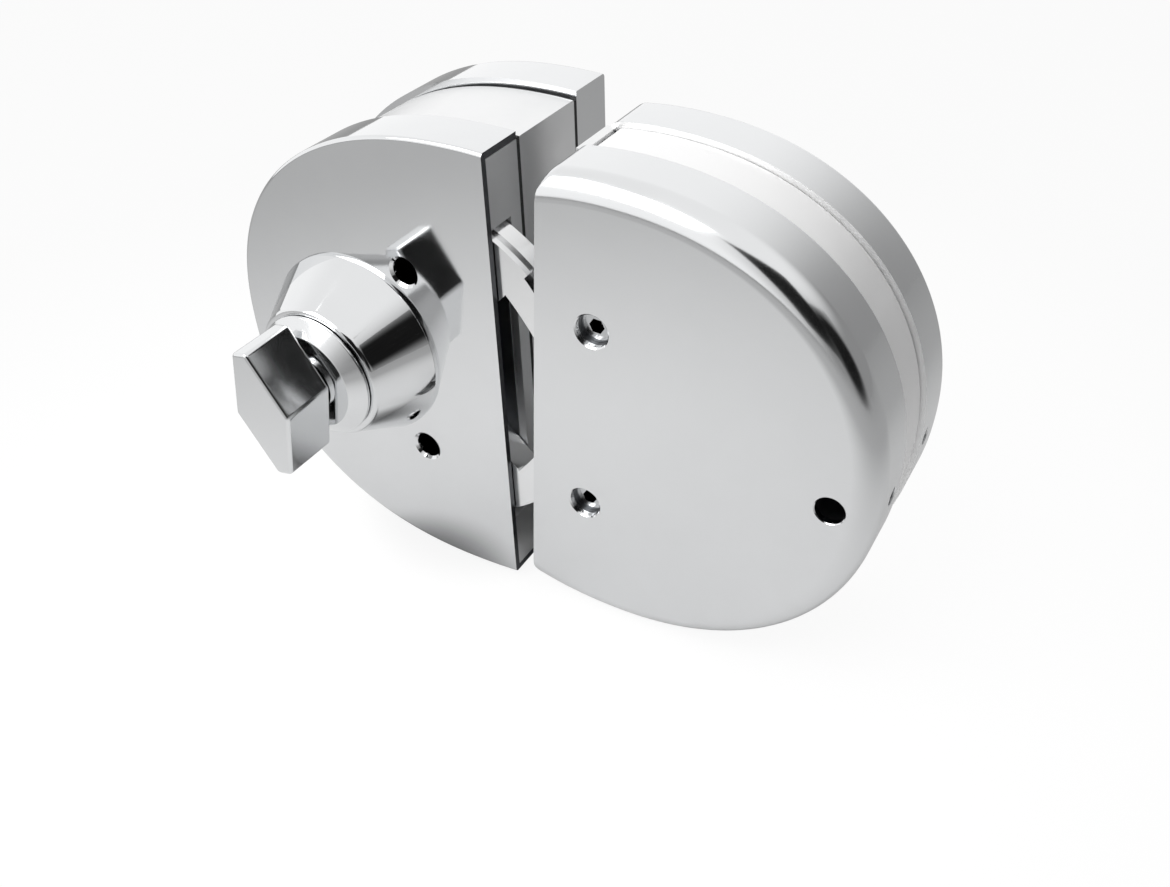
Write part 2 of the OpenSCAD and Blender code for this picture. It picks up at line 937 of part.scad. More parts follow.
lock_front_cover();
lock_case();
mouth_plate();
front_gasket();
mid_block();
rear_gasket();
rear_plate();
rear_cover();
clamp_screws();
claw_axle();
axle_clip();
idler_pin();
idler_gear();
upper_claw_plate();
upper_claw_core();
upper_claw_rivets();
lower_claw_plate();
lower_claw_core();
lower_claw_rivets();
drive_gear();
tailpiece();
front_barrel();
thumb_turn();
cone_collar();
collar_set_screw();
rear_barrel();
key_plug();
rear_rose();
lock_set_screws();
strike_front_cover();
strike_core();
strike_face_plate();
strike_front_gasket();
strike_mid_band();
strike_rear_gasket();
strike_rear_plate();
strike_rear_cover();
strike_screws();
strike_set_screws();
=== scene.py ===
import math

import bmesh
import bpy
from mathutils import Matrix, Vector


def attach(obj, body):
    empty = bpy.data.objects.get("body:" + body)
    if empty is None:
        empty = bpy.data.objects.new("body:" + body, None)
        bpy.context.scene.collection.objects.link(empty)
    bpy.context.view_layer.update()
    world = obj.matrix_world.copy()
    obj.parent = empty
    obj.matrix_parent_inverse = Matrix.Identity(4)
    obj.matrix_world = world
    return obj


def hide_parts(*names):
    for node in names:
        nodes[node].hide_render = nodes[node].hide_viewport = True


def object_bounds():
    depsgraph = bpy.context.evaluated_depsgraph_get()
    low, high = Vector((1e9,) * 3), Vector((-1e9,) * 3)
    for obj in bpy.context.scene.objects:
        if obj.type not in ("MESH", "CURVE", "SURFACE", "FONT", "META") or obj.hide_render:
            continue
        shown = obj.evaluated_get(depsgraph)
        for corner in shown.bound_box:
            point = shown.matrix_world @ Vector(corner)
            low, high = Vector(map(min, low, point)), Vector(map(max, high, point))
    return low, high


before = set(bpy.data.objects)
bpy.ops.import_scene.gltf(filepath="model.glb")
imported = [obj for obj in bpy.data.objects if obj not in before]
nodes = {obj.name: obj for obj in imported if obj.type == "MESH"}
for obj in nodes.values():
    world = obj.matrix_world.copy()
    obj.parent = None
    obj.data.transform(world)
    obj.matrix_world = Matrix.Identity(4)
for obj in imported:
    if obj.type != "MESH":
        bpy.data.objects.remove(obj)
cad_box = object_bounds()

# Camera, where the photograph was taken from: close in front of the lock, above
# it and to its right. Its place in metres, angles in degrees and lens in
# millimetres were worked out from the edges of the two covers.

CAMERA_PLACE = (0.12049, -0.16844, 0.13973)
CAMERA_ANGLES = (53.087, 1.659, 29.463)
SENSOR_WIDE, LENS, NEAREST = 36.0, 35.81, 0.005

camera_data = bpy.data.cameras.new("photo_camera")
camera_data.sensor_width = SENSOR_WIDE
camera_data.lens = LENS
camera_data.clip_start = NEAREST
camera = bpy.data.objects.new("photo_camera", camera_data)
camera.location = CAMERA_PLACE
camera.rotation_euler = [math.radians(angle) for angle in CAMERA_ANGLES]
bpy.context.collection.objects.link(camera)
bpy.context.scene.camera = camera
bpy.context.scene.view_settings.view_transform = "Standard"


# Table: a sheet of white paper that the lock stands on. The camera sees it almost
# white. In the steel it shows painted shading: a painted shadow of the lock close
# by, pale round that, and painted falloff, darker away from the light. Sizes are in
# metres, the grain's in mm.

TABLE_GAP, TABLE_WIDE = 0.0003, 6.0
PAPER_GRAIN = 2.5
PALE_TO, DARK_FROM = 0.03, 0.28
SHADE_X, SHADE_Y, SHADE_CORE, SHADE_EDGE = -0.022, 0.022, 0.022, 0.036
PAPER_GLOW, PAPER_SHARE = 1.05, 0.86


def linear(hex_colour):
    """sRGB hex colour to the linear colour that a shader takes."""
    parts = [int(hex_colour[i:i + 2], 16) / 255 for i in (1, 3, 5)]
    return tuple(c / 12.92 if c <= 0.04045 else ((c + 0.055) / 1.055) ** 2.4 for c in parts) + (1.0,)


def add_node(tree, kind, inputs=None, **settings):
    """A shader node with its settings; an input given as a socket is linked."""
    made = tree.nodes.new(kind)
    for name, value in settings.items():
        setattr(made, name, value)
    for name, value in (inputs or {}).items():
        if isinstance(value, bpy.types.NodeSocket):
            tree.links.new(value, made.inputs[name])
        else:
            made.inputs[name].default_value = value
    return made


def empty_tree(owner):
    """The node tree of a new material or world, with nothing in it."""
    owner.use_nodes = True
    owner.node_tree.nodes.clear()
    return owner.node_tree


def seen_straight(tree):
    """1 for what the camera sees directly or through glass, 0 for reflections and light."""
    path = add_node(tree, "ShaderNodeLightPath")
    seen = add_node(tree, "ShaderNodeMath", {
        0: path.outputs["Is Camera Ray"],
        1: path.outputs["Is Transmission Ray"],
    }, operation="MAXIMUM")
    return seen.outputs[0]


def pattern_scale(size_mm):
    """Noise scale for patches about size_mm wide, on coordinates in metres."""
    return 1000.0 / size_mm


def place(obj_name, bm):
    """An object at the origin holding the bmesh, linked to the scene."""
    mesh = bpy.data.meshes.new(obj_name)
    bm.to_mesh(mesh)
    bm.free()
    obj = bpy.data.objects.new(obj_name, mesh)
    bpy.context.collection.objects.link(obj)
    return obj


def card(name, centre, normal, width, height):
    """A flat rectangle that faces along normal."""
    bm = bmesh.new()
    bmesh.ops.create_grid(bm, x_segments=1, y_segments=1, size=0.5)
    turn = Vector(normal).to_track_quat("Z", "Y").to_matrix().to_4x4()
    fit = Matrix.Translation(centre) @ turn @ Matrix.Diagonal((width, height, 1.0, 1.0))
    bmesh.ops.transform(bm, matrix=fit, verts=bm.verts)
    return place(name, bm)


table_z = cad_box[0][2] - TABLE_GAP
table = card("table", (0.0, 0.0, table_z), (0, 0, 1), TABLE_WIDE, TABLE_WIDE)

# Matt white paper with a faint grain. It is painted darker away from the lock as light falloff, and painted
# grey close to the lock as its shadow.

paper = bpy.data.materials.new("white_table_paper")
tree = empty_tree(paper)
where = add_node(tree, "ShaderNodeTexCoord")
away = add_node(tree, "ShaderNodeVectorMath", {0: where.outputs["Object"]}, operation="LENGTH")
# Painted falloff: the paper's colour goes from #E2E2E2 to #A4A4A4 away from the lock, standing in for the
# light falling off.
painted_falloff = add_node(tree, "ShaderNodeMapRange", {
    "Value": away.outputs["Value"],
    "From Min": PALE_TO,
    "From Max": DARK_FROM,
}, interpolation_type="SMOOTHSTEP")
painted_falloff_tone = add_node(tree, "ShaderNodeMix", {
    "Factor": painted_falloff.outputs[0],
    "A": linear("#E2E2E2"),
    "B": linear("#A4A4A4"),
}, data_type="RGBA")
grain = add_node(tree, "ShaderNodeTexNoise", {
    "Vector": where.outputs["Object"],
    "Scale": pattern_scale(PAPER_GRAIN),
    "Detail": 3.0,
})
speck = add_node(tree, "ShaderNodeMapRange", {"Value": grain.outputs["Fac"], "To Min": 0.0, "To Max": 0.1})
grainy = add_node(tree, "ShaderNodeMix", {
    "Factor": speck.outputs[0],
    "A": painted_falloff_tone.outputs["Result"],
    "B": linear("#C6C6C6"),
}, data_type="RGBA")
# Painted shadow: close to the lock the paper is painted grey #848484, fading out between SHADE_CORE and
# SHADE_EDGE.
from_lock = add_node(tree, "ShaderNodeVectorMath", {
    0: where.outputs["Object"],
    1: (SHADE_X, SHADE_Y, table_z),
}, operation="DISTANCE")
clear = add_node(tree, "ShaderNodeMapRange", {
    "Value": from_lock.outputs["Value"],
    "From Min": SHADE_CORE,
    "From Max": SHADE_EDGE,
}, interpolation_type="SMOOTHSTEP")
painted_shadow_tone = add_node(tree, "ShaderNodeMix", {
    "Factor": clear.outputs[0],
    "A": linear("#848484"),
    "B": grainy.outputs["Result"],
}, data_type="RGBA")
matt = add_node(tree, "ShaderNodeBsdfDiffuse", {"Color": painted_shadow_tone.outputs["Result"]})
white = add_node(tree, "ShaderNodeEmission", {"Color": (1, 1, 1, 1), "Strength": PAPER_GLOW})
share = add_node(tree, "ShaderNodeMath", {0: seen_straight(tree), 1: PAPER_SHARE}, operation="MULTIPLY")
mixed = add_node(tree, "ShaderNodeMixShader", {0: share.outputs[0], 1: matt.outputs[0], 2: white.outputs[0]})
add_node(tree, "ShaderNodeOutputMaterial", {"Surface": mixed.outputs[0]})
table.data.materials.append(paper)


# Room: plain white behind the lock. In the steel it is bright on the left and
# overhead, and dim low down on the right. Where it changes is given as parts of
# a direction of length 1.

LEFT_X, RIGHT_X, LEFT_BRIGHT, RIGHT_BRIGHT = -0.15, 0.60, 1.10, 0.30
WALL_TO, CEILING_FROM, CEILING_BRIGHT = 0.35, 0.85, 1.0

world = bpy.data.worlds.new("studio_room")
bpy.context.scene.world = world
tree = empty_tree(world)
room_way = add_node(tree, "ShaderNodeTexCoord")
room_parts = add_node(tree, "ShaderNodeSeparateXYZ", {0: room_way.outputs["Generated"]})
walls = add_node(tree, "ShaderNodeMapRange", {
    "Value": room_parts.outputs["X"],
    "From Min": LEFT_X,
    "From Max": RIGHT_X,
    "To Min": LEFT_BRIGHT,
    "To Max": RIGHT_BRIGHT,
}, interpolation_type="SMOOTHSTEP")
height = add_node(tree, "ShaderNodeMapRange", {
    "Value": room_parts.outputs["Z"],
    "From Min": WALL_TO,
    "From Max": CEILING_FROM,
}, interpolation_type="SMOOTHSTEP")
bright = add_node(tree, "ShaderNodeMix", {
    "Factor": height.outputs[0],
    "A": walls.outputs[0],
    "B": CEILING_BRIGHT,
}, data_type="FLOAT")
mirrored = add_node(tree, "ShaderNodeBackground", {"Color": (1, 1, 1, 1), "Strength": bright.outputs[0]})
backdrop = add_node(tree, "ShaderNodeBackground", {"Color": (1, 1, 1, 1), "Strength": 1.0})
mixed = add_node(tree, "ShaderNodeMixShader", {
    0: seen_straight(tree),
    1: mirrored.outputs[0],
    2: backdrop.outputs[0],
})
add_node(tree, "ShaderNodeOutputWorld", {"Surface": mixed.outputs[0]})


# Softbox: the one lamp, a cloth fronted box up on the left. It gives the white
# streak along the shoulder of the strike cover. Places and sizes are in metres.

SOFTBOX_PLACE = Vector((-0.24, -0.38, 0.58))
SOFTBOX_WIDE, SOFTBOX_HIGH, SOFTBOX_WATTS = 0.6, 0.45, 2.7

lamp = bpy.data.lights.new("key_softbox", "AREA")
lamp.shape = "RECTANGLE"
lamp.size = SOFTBOX_WIDE
lamp.size_y = SOFTBOX_HIGH
lamp.energy = SOFTBOX_WATTS
softbox = bpy.data.objects.new("key_softbox", lamp)
softbox.location = SOFTBOX_PLACE
softbox.rotation_euler = (-SOFTBOX_PLACE).to_track_quat("-Z", "Y").to_euler()
bpy.context.collection.objects.link(softbox)


# Flags: dark cloths on frames, by the camera and on the right, turned to the
# lock. Only the polished steel sees them, as soft dark streaks on its curves.
# From side to side a cloth has FLAG_PATCHES faint patches, 10 to 20 mm wide.

FLAG_CORE, FLAG_EDGE = 0.60, 1.20
FLAG_PATCHES = 30


def flag(name, centre, width, height, shade, edge):
    """A dark cloth that only reflections see, shade in the middle and edge at its rim."""
    cloth = bpy.data.materials.new(name + "_cloth")
    tree = empty_tree(cloth)
    patches = add_node(tree, "ShaderNodeTexNoise", {"Scale": FLAG_PATCHES})
    dark = add_node(tree, "ShaderNodeMix", {
        "Factor": patches.outputs["Fac"],
        "A": linear(shade),
        "B": linear("#202020"),
    }, data_type="RGBA")
    where = add_node(tree, "ShaderNodeTexCoord")
    off = add_node(tree, "ShaderNodeVectorMath", {
        0: where.outputs["Object"],
        1: centre,
    }, operation="DISTANCE")
    reach = max(width, height) / 2
    fade = add_node(tree, "ShaderNodeMapRange", {
        "Value": off.outputs["Value"],
        "From Min": FLAG_CORE * reach,
        "From Max": FLAG_EDGE * reach,
    }, interpolation_type="SMOOTHSTEP")
    lit = add_node(tree, "ShaderNodeMix", {
        "Factor": fade.outputs[0],
        "A": dark.outputs["Result"],
        "B": linear(edge),
    }, data_type="RGBA")
    glow = add_node(tree, "ShaderNodeEmission", {"Color": lit.outputs["Result"], "Strength": 1.0})
    add_node(tree, "ShaderNodeOutputMaterial", {"Surface": glow.outputs[0]})
    obj = card(name, centre, -Vector(centre), width, height)
    obj.data.materials.append(cloth)
    obj.visible_camera = False
    obj.visible_diffuse = False
    obj.visible_shadow = False


flag("flag_camera", (0.36, -0.41, 0.33), 0.38, 0.50, "#080808", "#505050")
flag("flag_right", (0.68, -0.26, 0.22), 0.60, 0.58, "#101010", "#9A9A9A")


# Front cover of the lock half: stainless steel sheet pressed to a D, open at the
# back and at the mouth, and polished on a wheel. Set screws hold it to the case.
# Sizes are in millimetres from here on, with y running into the lock.

LOCK_D = {"centre": -9.54, "reach": 60.86, "half_high": 53.5, "power": 2.21, "side": -1}
BOW_STEPS, CORNER_STEPS, SMALLEST_CORNER = 80, 8, 0.4
SHEET, EDGE, EDGE_STEPS = 1.5, 0.9, 5
FRONT_COVER_BACK = 12.4
BACKWARDS, UPWARDS = (0, 1, 0), (0, 0, 1)
THROUGH, DEEP = 3, 4
KEY_HOLE_X, KEY_HOLE_Z, KEY_HOLE_R, KEY_HOLE_LIP = -22.4, 22.8, 3.1, 0.6
DRIVE_X, DRIVE_Z, BARREL_HOLE_R = -38.303, 1.0, 11.2
SET_X, SET_Y, SET_R = -11.54, 9.2, 2.0
DRILL_SIDES, RUN_IN, LIP_OVERLAP = 64, 2, 0.2
BETWEEN_COVERS = Vector((0, 20, 0))
SHARP_ANGLE, FLAT_WEIGHT = 32, 100
FACING, RIM_DEEP = 0.9, 0.1

# Polish: smudges that dull it in places, wheel marks as hairs, and waves in the
# sheet, WAVE_HEIGHT times as high as they are long.

SMUDGE, SMUDGE_CLEAN, SMUDGE_FULL = 18.2, 0.35, 0.7
HAIR_LONG, HAIR_WIDE, HAIR_DEEP, HAIR_STRENGTH = 10 / 3, 1 / 9, 0.02, 0.03
WAVE_HEIGHT = 0.0067


def polished_steel(name, colour, rough_low, rough_high, wave_mm, worn_to="#E6E7E8", wave_strength=0.12):
    """Wheel polished metal, rough_low to rough_high over its smudges, with sheet waves wave_mm long."""
    made = bpy.data.materials.new(name)
    tree = empty_tree(made)
    where = add_node(tree, "ShaderNodeTexCoord")
    smudge = add_node(tree, "ShaderNodeTexNoise", {
        "Vector": where.outputs["Object"],
        "Scale": pattern_scale(SMUDGE),
        "Detail": 4.0,
        "Roughness": 0.6,
    })
    rough = add_node(tree, "ShaderNodeMapRange", {
        "Value": smudge.outputs["Fac"],
        "From Min": SMUDGE_CLEAN,
        "From Max": SMUDGE_FULL,
        "To Min": rough_low,
        "To Max": rough_high,
    })
    tone = add_node(tree, "ShaderNodeMix", {
        "Factor": smudge.outputs["Fac"],
        "A": linear(colour),
        "B": linear(worn_to),
    }, data_type="RGBA")
    sheet = add_node(tree, "ShaderNodeTexNoise", {
        "Vector": where.outputs["Object"],
        "Scale": pattern_scale(wave_mm),
        "Detail": 1.0,
    })
    waves = add_node(tree, "ShaderNodeBump", {
        "Height": sheet.outputs["Fac"],
        "Strength": wave_strength,
        "Distance": WAVE_HEIGHT * wave_mm / 1000,
    })
    stretch = add_node(tree, "ShaderNodeMapping", {
        "Vector": where.outputs["Object"],
        "Scale": (pattern_scale(HAIR_LONG), pattern_scale(HAIR_LONG), pattern_scale(HAIR_WIDE)),
    })
    hair = add_node(tree, "ShaderNodeTexNoise", {"Vector": stretch.outputs[0], "Scale": 1.0, "Detail": 2.0})
    marks = add_node(tree, "ShaderNodeBump", {
        "Height": hair.outputs["Fac"],
        "Strength": HAIR_STRENGTH,
        "Distance": HAIR_DEEP / 1000,
        "Normal": waves.outputs[0],
    })
    metal = add_node(tree, "ShaderNodeBsdfPrincipled", {
        "Base Color": tone.outputs["Result"],
        "Metallic": 1.0,
        "Roughness": rough.outputs[0],
        "Normal": marks.outputs[0],
    })
    add_node(tree, "ShaderNodeOutputMaterial", {"Surface": metal.outputs[0]})
    return made


# Mirror polished stainless steel: shows the room sharply, bent a little by waves
# in the sheet. The sheet's edge at the mouth is dull and painted dark grey, as painted shade of the gap
# beside the claws.

mirror_steel = polished_steel("mirror_polished_stainless", "#E0E1E2", 0.03, 0.09, 45.0)
mouth_edge_painted_shade = polished_steel("cut_sheet_edge", "#3C3D3F", 0.30, 0.42, 4.0, "#6E7073")


def d_ring(form, y, inset=0.0, cut=0.0, corner=0.0):
    """Points of a D outline at depth y: a superellipse cut off at x = cut, its corners rounded."""
    side, power = form["side"], form["power"]
    reach, half_high = form["reach"] - inset, form["half_high"] - inset
    start = cut + side * corner
    top = math.acos(-(abs(start - form["centre"]) / reach) ** (power / 2))
    corner_z = half_high * math.sin(top) ** (2 / power)
    bends = []
    if corner > 0:
        bends = [math.radians(90 * k / CORNER_STEPS) for k in range(1, CORNER_STEPS + 1)]
    arc = [(start - side * corner * math.sin(v), corner_z - corner * (1 - math.cos(v))) for v in bends]
    bow = []
    for i in range(2 * BOW_STEPS + 1):
        t = top * (i / BOW_STEPS - 1)
        c, s = math.cos(t), math.sin(t)
        bow.append((form["centre"] + side * reach * math.copysign(abs(c) ** (2 / power), c),
                    half_high * math.copysign(abs(s) ** (2 / power), s)))
    outline = [(x, -z) for x, z in reversed(arc)] + bow + arc
    return [(x, y, z) for x, z in outline]


def rounded_rings(form, back, front, radius, steps, corner=0.0):
    """Rings of a D wall from back to front that ends in a rounded edge."""
    way = 1 if front > back else -1
    rings = [d_ring(form, back, corner=corner)]
    for k in range(steps + 1):
        turn = math.radians(90 * k / steps)
        step_in = radius * (1 - math.cos(turn))
        tight = max(corner - step_in, SMALLEST_CORNER) if corner > 0 else 0.0
        rings.append(d_ring(form, front - way * radius * (1 - math.sin(turn)), step_in, corner=tight))
    return rings


def loft(rings, closed=False):
    """Skin drawn through equal rings, capped at the last one, and at the first one if closed."""
    bm = bmesh.new()
    ring = bmesh.ops.create_circle(bm, cap_ends=False, segments=len(rings[0]), radius=1.0)["verts"]
    for v, point in zip(ring, rings[0]):
        v.co = point
    if closed:
        bmesh.ops.contextual_create(bm, geom=bm.edges[:])
    for points in rings[1:]:
        held = set(ring)
        edges = [e for e in bm.edges if e.verts[0] in held and e.verts[1] in held]
        grown = set(bmesh.ops.extrude_edge_only(bm, edges=edges)["geom"])
        ring = [next(e.other_vert(v) for e in v.link_edges if e.other_vert(v) in grown) for v in ring]
        for v, point in zip(ring, points):
            v.co = point
    held = set(ring)
    last_edges = [e for e in bm.edges if e.verts[0] in held and e.verts[1] in held]
    bmesh.ops.contextual_create(bm, geom=last_edges)
    bmesh.ops.recalc_face_normals(bm, faces=bm.faces)
    return bm


def open_mouth(bm):
    """Takes the wall at x = 0 away and gives the rest the sheet's thickness, inwards."""
    gone = [f for f in bm.faces if all(abs(v.co.x) < 1e-4 for v in f.verts)]
    bmesh.ops.delete(bm, geom=gone, context="FACES")
    bmesh.ops.recalc_face_normals(bm, faces=bm.faces)
    ways_out = [f.normal.dot(f.calc_center_median() - BETWEEN_COVERS) * f.calc_area() for f in bm.faces]
    if sum(ways_out) < 0:
        bmesh.ops.reverse_faces(bm, faces=bm.faces)
    bmesh.ops.solidify(bm, geom=bm.faces[:], thickness=SHEET)


def settle(obj):
    """Turns the modifiers into mesh."""
    graph = bpy.context.evaluated_depsgraph_get()
    done = bpy.data.meshes.new_from_object(obj.evaluated_get(graph))
    obj.modifiers.clear()
    old = obj.data
    obj.data = done
    bpy.data.meshes.remove(old)


def cut_cone(obj, start, way, radius0, radius1, depth):
    """Cuts a cone away, radius0 at its start and radius1 at its end."""
    bm = bmesh.new()
    bmesh.ops.create_cone(bm, cap_ends=True, segments=DRILL_SIDES, radius1=radius0, radius2=radius1,
                          depth=depth)
    turn = way.to_track_quat("Z", "Y").to_matrix().to_4x4()
    aim = Matrix.Translation(start) @ turn @ Matrix.Translation((0, 0, depth / 2))
    bmesh.ops.transform(bm, matrix=aim, verts=bm.verts)
    bit = place("drill_bit", bm)
    cut = obj.modifiers.new("hole", "BOOLEAN")
    cut.object = bit
    cut.solver = "EXACT"
    settle(obj)
    bpy.data.objects.remove(bit)


def drill(obj, mouth, way, radius, depth, lip=0.0):
    """Drills a straight hole from its mouth in the face, and breaks the edge round it by lip."""
    mouth, way = Vector(mouth), Vector(way)
    cut_cone(obj, mouth - RUN_IN * way, way, radius, radius, depth + RUN_IN)
    if lip > 0:
        cut_cone(obj, mouth - LIP_OVERLAP * way, way, radius + lip + LIP_OVERLAP, radius - LIP_OVERLAP,
                 lip + 2 * LIP_OVERLAP)


def smooth(obj):
    """Smooth shading that keeps flat faces flat and edges above SHARP_ANGLE sharp."""
    for face in obj.data.polygons:
        face.use_smooth = True
    obj.data.set_sharp_from_angle(angle=math.radians(SHARP_ANGLE))
    even = obj.modifiers.new("flat_faces", "WEIGHTED_NORMAL")
    even.keep_sharp = True
    even.weight = FLAT_WEIGHT
    settle(obj)


def finish_piece(name, node, bm, material, holes=(), matrix=None, body="lock_body"):
    """Drills the piece, makes it metres, smooths it and puts it in the frame for its CAD node."""
    obj = place(name, bm)
    for hole in holes:
        drill(obj, *hole)
    obj.data.transform(Matrix.Scale(0.001, 4))
    smooth(obj)
    if matrix is not None:
        obj.data.transform(matrix)
    obj.data.materials.clear()
    obj.data.materials.append(material)
    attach(obj, body)
    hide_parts(node)
    return obj


def second_finish(obj, material, wanted):
    """Gives the faces that wanted picks a finish of their own."""
    obj.data.materials.append(material)
    for face in obj.data.polygons:
        if wanted(face):
            face.material_index = 1


bm = loft(rounded_rings(LOCK_D, FRONT_COVER_BACK, 0.0, EDGE, EDGE_STEPS))
open_mouth(bm)
front_cover = finish_piece("lock_cover_skin", "lock_front_cover", bm, mirror_steel, [
    ((KEY_HOLE_X, 0, KEY_HOLE_Z), BACKWARDS, KEY_HOLE_R, THROUGH, KEY_HOLE_LIP),
    ((KEY_HOLE_X, 0, -KEY_HOLE_Z), BACKWARDS, KEY_HOLE_R, THROUGH, KEY_HOLE_LIP),
    ((DRIVE_X, 0, DRIVE_Z), BACKWARDS, BARREL_HOLE_R, THROUGH),
    ((SET_X, SET_Y, -LOCK_D["half_high"]), UPWARDS, SET_R, DEEP),
])
# Painted shade: the faces of the sheet's edge at the mouth get the dark grey finish.
second_finish(front_cover, mouth_edge_painted_shade,
              lambda face: face.normal.x > FACING and face.center.x > -RIM_DEEP / 1000)


# Block in the notch of the glass: cast stainless steel with its edges broken,
# between two gaskets. The profile gives depth and inset from the covers' outline.

BLOCK_PROFILE = [(13.5, 1.9), (13.7, 1.5), (14.0, 1.4), (34.4, 1.4), (34.7, 1.5), (34.9, 1.9)]

# Satin finished stainless steel: pale and even, with only soft shades of the room.

satin_steel = polished_steel("satin_finished_stainless", "#F0F0F0", 0.28, 0.40, 20.0)

bm = loft([d_ring(LOCK_D, y, inset) for y, inset in BLOCK_PROFILE], closed=True)
finish_piece("mid_block_skin", "mid_block", bm, satin_steel)


# Rear cover of the lock half: polished sheet like the front cover, but closed on
# the mouth side too, with one bore for the key cylinder. Set screws hold it.

REAR_COVER_FRONT, REAR_COVER_BACK = 36.0, 48.2
CYLINDER_BORE_R = 11.12
FORWARDS = (0, -1, 0)

bm = loft(rounded_rings(LOCK_D, REAR_COVER_FRONT, REAR_COVER_BACK, EDGE, EDGE_STEPS))
bmesh.ops.solidify(bm, geom=bm.faces[:], thickness=SHEET)
finish_piece("rear_cover_skin", "rear_cover", bm, mirror_steel, [
    ((DRIVE_X, REAR_COVER_BACK, DRIVE_Z), FORWARDS, CYLINDER_BORE_R, DEEP),
    ((SET_X, (REAR_COVER_FRONT + REAR_COVER_BACK) / 2, -LOCK_D["half_high"]), UPWARDS, SET_R, DEEP),
])


# Front cover of the strike: a deep drawn stainless steel cup with a soft edge,
# buffed. Its face has two socket screws and a plain hole, its nose a set screw.
# The strike stands at STRIKE_PLACE, in metres, and droops by STRIKE_DROOP degrees.

STRIKE_D = {"centre": 16.8, "reach": 57.4, "half_high": 53.5, "power": 2.16, "side": 1}
STRIKE_PLACE, STRIKE_DROOP = (0.0093, -0.0016, 0.0006), 3.8
STRIKE_CORNER, SOFT_EDGE, SOFT_STEPS = 3.8, 5.5, 14
BAND_FRONT, BAND_BACK, STRIKE_BACK = 15.2, 27.9, 39.9
SCREW_X, SCREW_Z, SCREW_HOLE_R, SCREW_LIP = 12.9, 22.1, 3.62, 0.3
PLAIN_HOLE_X, PLAIN_HOLE_R = 65.3, 3.05
NOSE_X = STRIKE_D["centre"] + STRIKE_D["reach"]
NOSE_FRONT_Y, NOSE_REAR_Y, SMALL_LIP = 10.5, 32.5, 0.2
LEFTWARDS = (-1, 0, 0)

# Buffed drawn stainless steel: streaks of light and dark with soft edges, since
# the drawing leaves the sheet a little rough.

drawn_steel = polished_steel("buffed_drawn_stainless", "#E0E1E2", 0.10, 0.17, 16.0, wave_strength=0.45)

droop = Matrix.Rotation(math.radians(STRIKE_DROOP), 4, "Y")
strike_place = Matrix.Translation(STRIKE_PLACE) @ droop
bm = loft(rounded_rings(STRIKE_D, BAND_FRONT, 0.0, SOFT_EDGE, SOFT_STEPS, STRIKE_CORNER))
open_mouth(bm)
finish_piece("strike_cover_skin", "strike_front_cover", bm, drawn_steel, [
    ((SCREW_X, 0, SCREW_Z), BACKWARDS, SCREW_HOLE_R, THROUGH, SCREW_LIP),
    ((SCREW_X, 0, -SCREW_Z), BACKWARDS, SCREW_HOLE_R, THROUGH, SCREW_LIP),
    ((PLAIN_HOLE_X, 0, 0), BACKWARDS, PLAIN_HOLE_R, DEEP, SMALL_LIP),
    ((NOSE_X, NOSE_FRONT_Y, 0), LEFTWARDS, SET_R, DEEP, SMALL_LIP),
], strike_place)


# Band between the strike's covers: a stainless steel spacer as thick as the
# glass and its gaskets. The profile gives depth, inset and corner radius.

BAND_CUT = 2.0
BAND_PROFILE = [
    (BAND_FRONT, 1.8, 2.0), (15.5, 1.2, 2.6), (16.0, 1.0, 2.8),
    (27.1, 1.0, 2.8), (27.6, 1.2, 2.6), (BAND_BACK, 1.8, 2.0),
]

# Blasted stainless steel: the palest finish of the lock, without any streaks.

band_steel = polished_steel("blasted_seat_band", "#F6F6F6", 0.50, 0.62, 20.0, "#FAFAFA")

bm = loft([d_ring(STRIKE_D, y, inset, BAND_CUT, corner) for y, inset, corner in BAND_PROFILE], closed=True)
finish_piece("strike_band_skin", "strike_mid_band", bm, band_steel, matrix=strike_place)


# Rear cover of the strike: a shallower cup of the same drawn sheet, with a
# harder edge and its own nose screw. The rim towards the band is blasted.

bm = loft(rounded_rings(STRIKE_D, BAND_BACK, STRIKE_BACK, EDGE, EDGE_STEPS, STRIKE_CORNER))
open_mouth(bm)
strike_rear = finish_piece("strike_rear_skin", "strike_rear_cover", bm, drawn_steel, [
    ((NOSE_X, NOSE_REAR_Y, 0), LEFTWARDS, SET_R, DEEP, SMALL_LIP),
], strike_place)
second_finish(strike_rear, band_steel, lambda face: face.normal.y < -FACING)


# Thumb turn: a lozenge grip, milled from stainless bar with its edges broken, on
# a round foot turned with it. It is buffed like the strike's covers and sits on
# the drive axis. The foot's profile gives radius and y.

GRIP_LONG, GRIP_SIDE, GRIP_END = 14.7, 7.6, 1.95
GRIP_FRONT, GRIP_BACK, GRIP_TILT = -32.2, -18.8, -10.8
GRIP_EDGE, GRIP_EDGE_STEPS = 0.8, 4
TURNED_STEPS = 160
FOOT_PROFILE = [
    (0.0, -14.35), (14.2, -14.35), (14.3, -14.45), (14.3, -15.05), (14.2, -15.22), (11.25, -17.6),
    (11.05, -17.69), (10.8, -17.7), (6.9, -17.7), (6.9, -18.4), (0.0, -18.4),
]


def turned(profile, steps):
    """Piece spun about the drive axis from a closed profile of (radius, y) points."""
    bm = bmesh.new()
    verts = [bm.verts.new((DRIVE_X + r, y, DRIVE_Z)) for r, y in profile]
    for k, v in enumerate(verts):
        bm.edges.new((v, verts[(k + 1) % len(verts)]))
    bmesh.ops.spin(bm, geom=bm.verts[:] + bm.edges[:], cent=(DRIVE_X, 0, DRIVE_Z), axis=(0, 1, 0),
                   dvec=(0, 0, 0), angle=math.radians(360), steps=steps, use_merge=True,
                   use_duplicate=False)
    bmesh.ops.remove_doubles(bm, verts=bm.verts, dist=1e-4)
    bmesh.ops.recalc_face_normals(bm, faces=bm.faces)
    return bm


